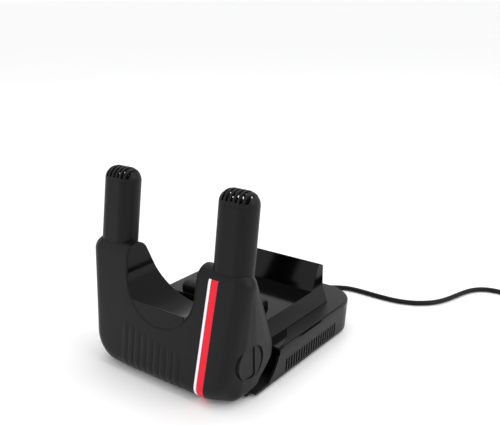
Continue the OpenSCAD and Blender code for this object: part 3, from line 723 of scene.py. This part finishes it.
    def liner(self) -> bpy.types.Object:
        """The gloss liner: what the form and the wall of the opening share, up to the tops of the arms."""
        p = self.plan
        piece = bpy.data.objects.new("opening_liner", self.form.piece.data.copy())
        bpy.context.scene.collection.objects.link(piece)
        carve(piece, [self.tunnel_cutter(p.tunnel_r + p.liner - 0.02 * MM)], "INTERSECT")
        carve(piece, [self.tunnel_cutter(p.tunnel_r), self.underside_cutter()])
        shape = bmesh.new()
        shape.from_mesh(piece.data)
        bmesh.ops.remove_doubles(shape, verts=shape.verts, dist=0.005 * MM)
        bmesh.ops.dissolve_limit(shape, angle_limit=math.radians(1.0), verts=shape.verts, edges=shape.edges)
        shape.to_mesh(piece.data)
        shape.free()
        piece.data.polygons.foreach_set("use_smooth", np.ones(len(piece.data.polygons), bool))
        lip = piece.modifiers.new("lip", "BEVEL")
        lip.width = 0.5 * MM
        lip.segments = 3
        lip.limit_method = "ANGLE"
        lip.angle_limit = math.radians(40)
        lip.harden_normals = True
        apply_modifiers(piece)
        return dress(piece, self.palette[Slot.GLOSS], Body.TOWER, Slot.GLOSS.value, "tunnel_liner")

    def flutes(self) -> bpy.types.Object:
        """Upright ribs low on the front, which run under its foot and fade out higher up.

        The surface is the front's own section carried along X: a plane that leans by `lean`, joined to a round
        foot of radius `edge_r`. It is lifted by rib height times |sin(pi x / pitch)|^0.6, and by less where it
        nears the ribs' ends.
        """
        p = self.plan
        pitch, lift, sink = 8.6 * MM, 0.45 * MM, 0.15 * MM
        x = np.linspace(-45.6 * MM, 31.8 * MM, 181)
        run = np.linspace(-19 * MM, 60 * MM, 72)
        wide, along = np.meshgrid(x, run)
        turn = p.lean + np.minimum(along, 0) / p.edge_r
        core = p.toe_z + np.maximum(along, 0) * math.cos(p.lean)
        normal = np.stack([np.zeros_like(wide), -np.cos(turn), np.sin(turn)], -1)
        centre = np.stack([wide, p.front_y + p.edge_r + (core - p.toe_z) * math.tan(p.lean), core], -1)
        end = 42 * MM - 0.17 * (wide - x[0])
        fade = np.clip((end - along) / (16 * MM), 0, 1)
        side = np.clip(np.minimum(wide - x[0], x[-1] - wide) / (0.6 * MM), 0, 1)
        foot = np.clip((along - run[0]) / (1.5 * MM), 0, 1)
        rib = np.abs(np.sin(math.pi * (wide - x[0]) / pitch)) ** 0.6
        height = -sink + (lift + sink) * rib * fade * fade * (3 - 2 * fade) * side * foot
        fronts = (centre + normal * (p.edge_r + height)[..., None]).reshape(-1, 3)
        backs = (centre + normal * (p.edge_r - 1.2 * MM)).reshape(-1, 3)
        piece = closed_sheet("front_flutes", fronts, backs, len(run), len(x))
        piece.data.set_sharp_from_angle(angle=math.radians(60))
        return dress(piece, self.palette[Slot.SHELL], Body.TOWER, Slot.SHELL.value)

    def stripes(self) -> list[bpy.types.Object]:
        """The two inlays, seated in their groove and a little proud of the face."""
        p = self.plan
        plans = [("silver_inlay", "stripe_silver", Slot.SILVER, p.stripe_x, p.silver_w),
                 ("red_inlay", "stripe_red", Slot.RED, p.stripe_x + p.silver_w + p.stripe_gap, p.red_w)]
        made = []
        for name, node, slot, start, width in plans:
            band = self.stripe_band(start, width, p.groove - 0.05 * MM, 0.08 * MM, name)
            band.data.set_sharp_from_angle(angle=math.radians(40))
            made.append(dress(band, self.palette[slot], Body.TOWER, slot.value, node))
        return made

    def grille(self, side: int) -> bpy.types.Object:
        """A nozzle's rounded tip with its outlet slots."""
        p = self.plan
        node = "outlet_grille_left" if side < 0 else "outlet_grille_right"
        r = p.nozzle_d / 2
        wall_h = p.tip_h - r + 1 * MM
        foot_at = self.tip_foot(side)
        rings = [(0.0, 0.0), (0.0, wall_h)] + [
            (r * (1 - math.cos(a)), wall_h + r * math.sin(a)) for a in np.linspace(0.06, math.pi / 2 * 0.985, 22)]
        shapes = []
        for shrink in (0.0, p.nozzle_t):
            points = []
            for inset, height in rings:
                drop = shrink if height > wall_h else 0.0
                scale = (r - shrink) / r
                oval = self.nozzle_oval(-inset * scale - shrink)
                points += [Vector((x, y, wall_h + (height - wall_h) * scale if drop else height)) for x, y in oval]
            n = len(self.nozzle_oval(0))
            foot = -1 * MM if shrink else 0.0
            points[:n] = [Vector((q.x, q.y, foot)) for q in points[:n]]
            faces = [tuple(f) for f in grid_faces(len(rings), n, wrap=True)]
            faces += [tuple(range(n))[::-1], tuple(range((len(rings) - 1) * n, len(rings) * n))]
            shapes.append(new_piece("outlet_tip" if not shrink else "tip_hollow", [foot_at @ q for q in points], faces))
        tip, hollow = shapes
        cutters = [hollow]
        for i in range(-3, 4):
            outline = [(i * 5 * MM - 1.3 * MM, 4 * MM), (i * 5 * MM + 1.3 * MM, 4 * MM),
                       (i * 5 * MM + 1.3 * MM, 30 * MM), (i * 5 * MM - 1.3 * MM, 30 * MM)]
            bar = prism("slot_cut", outline, -30 * MM, 30 * MM, "Y")
            bar.data.transform(foot_at)
            cutters.append(bar)
        carve(tip, cutters)
        tip.name = "outlet_tip_left" if side < 0 else "outlet_tip_right"
        tip.data.set_sharp_from_angle(angle=math.radians(32))
        return dress(tip, self.palette[Slot.SHELL], Body.TOWER, Slot.SHELL.value, node)

    def tip_foot(self, side: int) -> Matrix:
        """Matrix of the place where a nozzle's tip begins."""
        p = self.plan
        foot = p.arm_top - 12 * MM
        length = (198 * MM - foot) / math.cos(p.lean) - p.tip_h - 1 * MM
        return self.nozzle_place(side, foot) @ Matrix.Translation((0, 0, length))

    def build(self) -> None:
        """Makes every piece of the tower that replaces a plain solid."""
        self.shells()
        self.liner()
        self.flutes()
        self.stripes()
        for side in (-1, 1):
            self.grille(side)
        bpy.data.objects.remove(self.form.piece)


# ---- softened solids -------------------------------------------------------


@dataclass(frozen=True)
class Edge:
    """How a solid's edges are eased."""

    width: float
    body: Body = Body.BASE
    segments: int = 3


EASED: dict[str, Edge] = {
    "base_tray": Edge(0.5 * MM),
    "wing_cover": Edge(0.9 * MM),
    "rim_band": Edge(0.8 * MM),
    "centre_cover": Edge(1.2 * MM, segments=4),
    "heel_rest_left": Edge(1.0 * MM),
    "heel_rest_right": Edge(1.0 * MM),
    "nozzle_left": Edge(0.4 * MM, Body.TOWER),
    "nozzle_right": Edge(0.4 * MM, Body.TOWER),
    "plug_body": Edge(1.2 * MM, segments=4),
    "switch_body": Edge(0.4 * MM),
}


class Easer:
    """Copies exact solids and rounds their edges, so that they catch the light as mouldings do."""

    def __init__(self, palette: Palette, slots: dict[str, str]) -> None:
        """Keeps the finishes and each node's slot."""
        self.palette = palette
        self.slots = slots

    def ease(self, node: str, edge: Edge) -> bpy.types.Object:
        """Makes the eased copy of one node.

        Args:
            node: Name of the solid.
            edge: Width, steps and body of its eased edges.

        Returns:
            The new piece, which replaces the solid in the picture.
        """
        mesh = frame["nodes"][node].data.copy()
        mesh.materials.clear()
        shape = bmesh.new()
        shape.from_mesh(mesh)
        bmesh.ops.remove_doubles(shape, verts=shape.verts, dist=0.003 * MM)
        bmesh.ops.dissolve_limit(shape, angle_limit=math.radians(0.8), verts=shape.verts, edges=shape.edges)
        bmesh.ops.recalc_face_normals(shape, faces=shape.faces)
        shape.to_mesh(mesh)
        shape.free()
        if "custom_normal" in mesh.attributes:
            mesh.attributes.remove(mesh.attributes["custom_normal"])
        mesh.polygons.foreach_set("use_smooth", np.ones(len(mesh.polygons), bool))
        piece = bpy.data.objects.new(f"{node}_eased", mesh)
        bpy.context.scene.collection.objects.link(piece)
        bevel = piece.modifiers.new("ease", "BEVEL")
        bevel.width = edge.width
        bevel.segments = edge.segments
        bevel.limit_method = "ANGLE"
        bevel.angle_limit = math.radians(38)
        bevel.use_clamp_overlap = True
        bevel.harden_normals = True
        weigh = piece.modifiers.new("weigh", "WEIGHTED_NORMAL")
        weigh.keep_sharp = True
        apply_modifiers(piece)
        return dress(piece, self.palette[self.slots[node]], edge.body, self.slots[node], node)


# ---- cord ------------------------------------------------------------------


class CordMaker:
    """The mains cord as one smooth curve: its lying stretch, its coil and the lead-in to its plug."""

    def __init__(self, plan: CordPlan, palette: Palette) -> None:
        """Keeps the cord's facts and the finishes."""
        self.plan = plan
        self.palette = palette

    @staticmethod
    def smooth(points: np.ndarray, step: float) -> np.ndarray:
        """Samples a Catmull-Rom curve through the points about every `step` metres."""
        ends = np.vstack([2 * points[0] - points[1], points, 2 * points[-1] - points[-2]])
        made = []
        for i in range(1, len(ends) - 2):
            a, b, c, d = ends[i - 1:i + 3]
            count = max(2, int(np.linalg.norm(c - b) / step))
            for t in np.arange(count) / count:
                made.append(0.5 * ((2 * b) + (c - a) * t + (2 * a - 5 * b + 4 * c - d) * t ** 2
                                   + (3 * b - a - 3 * c + d) * t ** 3))
        made.append(points[-1])
        return np.array(made)

    def coil_point(self, turn: float) -> np.ndarray:
        """Place of the cord's middle after some turns of the coil, counted from its first point."""
        p = self.plan
        share = 1 - 1 / 8
        column, row = p.layers[0]
        for k in range(len(p.layers) - 1):
            move = min(max((turn - (k + 1) * share) * 8, 0), 1)
            ease = move * move * (3 - 2 * move)
            column += (p.layers[k + 1][0] - p.layers[k][0]) * ease
            row += (p.layers[k + 1][1] - p.layers[k][1]) * ease
        radius = p.coil_mid_r + column * p.diameter
        angle = -math.pi / 2 + 2 * math.pi * turn
        return np.array([p.coil_centre[0] + radius * math.cos(angle), p.coil_centre[1] + radius * math.sin(angle),
                         p.coil_foot + row * p.diameter])

    def centreline(self) -> np.ndarray:
        """Every point of the cord's middle, from its gland to its plug."""
        p = self.plan
        route = np.array(p.route) * MM
        coil = np.array([self.coil_point(t / p.turn_steps) for t in range(int(p.turns * p.turn_steps) + 1)])
        lead = np.array([coil[-1] + np.array([0, p.neck_reach, 0])])
        return self.smooth(np.vstack([route, coil, lead]), 3 * MM)

    def build(self, with_pieces: Sequence[bpy.types.Object]) -> bpy.types.Object:
        """Makes the cord."""
        p = self.plan
        line = self.centreline()
        curve = bpy.data.curves.new("mains_cord", "CURVE")
        curve.dimensions = "3D"
        curve.bevel_depth = p.diameter / 2
        curve.bevel_resolution = 5
        curve.use_fill_caps = True
        spline = curve.splines.new("POLY")
        spline.points.add(len(line) - 1)
        spline.points.foreach_set("co", np.column_stack([line, np.ones(len(line))]).ravel())
        spline.use_smooth = True
        cord = bpy.data.objects.new("mains_cord", curve)
        bpy.context.scene.collection.objects.link(cord)
        dress(cord, self.palette[Slot.CORD], Body.BASE, Slot.CORD.value, "power_cord", "cord_coil")
        return cord

    def relief(self) -> bpy.types.Object:
        """The ribbed, tapered strain relief where the cord leaves the base."""
        low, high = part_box("strain_relief")
        axis = Vector(((low.x + high.x) / 2, 0, (low.z + high.z) / 2))
        flange_r = (high.x - low.x) / 2
        neck = flange_r - 2.2 * MM
        tip = self.plan.diameter / 2 + 0.8 * MM
        back = low.y + 3.8 * MM
        profile = [(0.2 * MM, low.y), (neck, low.y), (neck, back), (flange_r - 0.4 * MM, back),
                   (flange_r, back + 0.4 * MM), (flange_r, back + 1.2 * MM),
                   (flange_r - 0.4 * MM, back + 1.6 * MM), (neck - 0.6 * MM, back + 1.7 * MM)]
        start, end, ribs = back + 2.4 * MM, high.y, 6
        for i in range(ribs):
            a = start + (end - start) * i / ribs
            b = start + (end - start) * (i + 0.62) / ribs
            c = start + (end - start) * (i + 0.66) / ribs
            d = start + (end - start) * (i + 0.96) / ribs
            wide = neck - 0.6 * MM + (tip - neck + 0.6 * MM) * (i + 0.5) / ribs
            profile += [(wide, a), (wide, b), (wide - 0.8 * MM, c), (wide - 0.8 * MM, d)]
        profile += [(tip, end - 0.3 * MM), (tip - 0.3 * MM, end), (self.plan.diameter / 2 - 0.2 * MM, end)]
        sides = 64
        turn = np.linspace(0, 2 * math.pi, sides, endpoint=False)
        points = [axis + Vector((r * math.cos(a), y, r * math.sin(a))) for r, y in profile for a in turn]
        faces = [tuple(f) for f in grid_faces(len(profile), sides, wrap=True)]
        faces += [tuple(range(sides))[::-1], tuple(range((len(profile) - 1) * sides, len(profile) * sides))]
        piece = new_piece("ribbed_relief", points, faces)
        turn_out(piece)
        piece.data.set_sharp_from_angle(angle=math.radians(40))
        return dress(piece, self.palette[Slot.CORD], Body.BASE, Slot.CORD.value, "strain_relief")


# ---- stage -----------------------------------------------------------------


class Studio:
    """Camera, floor, sky and soft lights."""

    def __init__(self, plan: CameraPlan) -> None:
        """Keeps the camera's plan."""
        self.plan = plan

    def camera(self) -> None:
        """Stands the camera where the picture was taken from."""
        p = self.plan
        a, e, roll = p.azimuth, p.pitch, p.roll
        level = Vector((math.cos(a), math.sin(a), 0))
        over = Vector((-math.sin(a) * math.sin(e), math.cos(a) * math.sin(e), math.cos(e)))
        ahead = Vector((-math.sin(a) * math.cos(e), math.cos(a) * math.cos(e), -math.sin(e)))
        right = level * math.cos(roll) + over * math.sin(roll)
        up = over * math.cos(roll) - level * math.sin(roll)
        data = bpy.data.cameras.new("camera")
        data.sensor_width = p.sensor
        data.lens = p.focal
        data.clip_start = 0.01
        view = bpy.data.objects.new("camera", data)
        view.matrix_world = Matrix.Translation(p.place) @ Matrix((right, up, -ahead)).transposed().to_4x4()
        bpy.context.scene.collection.objects.link(view)
        bpy.context.scene.camera = view

    def floor(self) -> None:
        """A plain pale floor that fades into the sky."""
        size = 30.0
        floor = new_piece("floor", [(-size, -size, 0), (size, -size, 0), (size, size, 0), (-size, size, 0)],
                          [(0, 1, 2, 3)], smooth=False)
        made = Shader("studio_floor")
        made.feed(made.body.inputs["Base Color"], made.tint(made.noise(0.4), "#f8f8f9", "#fbfbfb"))
        made.feed(made.body.inputs["Roughness"], made.spread(made.noise(0.05), 0.5, 0.62))
        floor.data.materials.append(made.material)

    def sky(self) -> None:
        """An even white surround."""
        world = bpy.data.worlds.new("studio")
        world.use_nodes = True
        glow = world.node_tree.nodes["Background"]
        glow.inputs["Color"].default_value = linear("#ffffff")
        glow.inputs["Strength"].default_value = 1.0
        bpy.context.scene.world = world
        bpy.context.scene.view_settings.view_transform = "Standard"

    def light(
        self, name: str, place: Sequence[float], aim: Sequence[float], size: float, power: float
    ) -> None:
        """Adds one square soft light that faces a point."""
        data = bpy.data.lights.new(name, "AREA")
        data.shape = "SQUARE"
        data.size = size
        data.energy = power
        lamp = bpy.data.objects.new(name, data)
        toward = Vector(aim) - Vector(place)
        lamp.matrix_world = Matrix.Translation(place) @ toward.to_track_quat("-Z", "Y").to_matrix().to_4x4()
        bpy.context.scene.collection.objects.link(lamp)

    def build(self) -> None:
        """Sets the whole stage."""
        self.camera()
        self.floor()
        self.sky()
        middle = (0.0, 0.0, 0.06)
        self.light("key", (1.5, 0.35, 1.1), middle, 1.2, 9)
        self.light("top", (0.1, 0.5, 1.9), middle, 1.4, 8)
        self.light("fill", (-1.0, -1.7, 0.9), middle, 1.2, 2)


def main() -> None:
    """Dresses the frame."""
    logging.basicConfig(level=logging.INFO)
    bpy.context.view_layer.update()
    palette = Palette()
    slots = {part["node"]: part["material_slot"] for part in frame["record"]["subparts"]}
    Studio(CameraPlan()).build()
    cords = CordMaker(CordPlan(), palette)
    easer = Easer(palette, slots)
    eased = {node: easer.ease(node, edge) for node, edge in EASED.items()}
    relief = cords.relief()
    cords.build([eased["plug_body"], relief, frame["nodes"]["plug_pins"], frame["nodes"]["cord_tie"]])
    for node, solid in frame["nodes"].items():
        solid.data.materials.clear()
        solid.data.materials.append(palette[slots[node]])
    TowerMaker(TowerPlan(), palette).build()


if __name__ == "__main__":
    main()
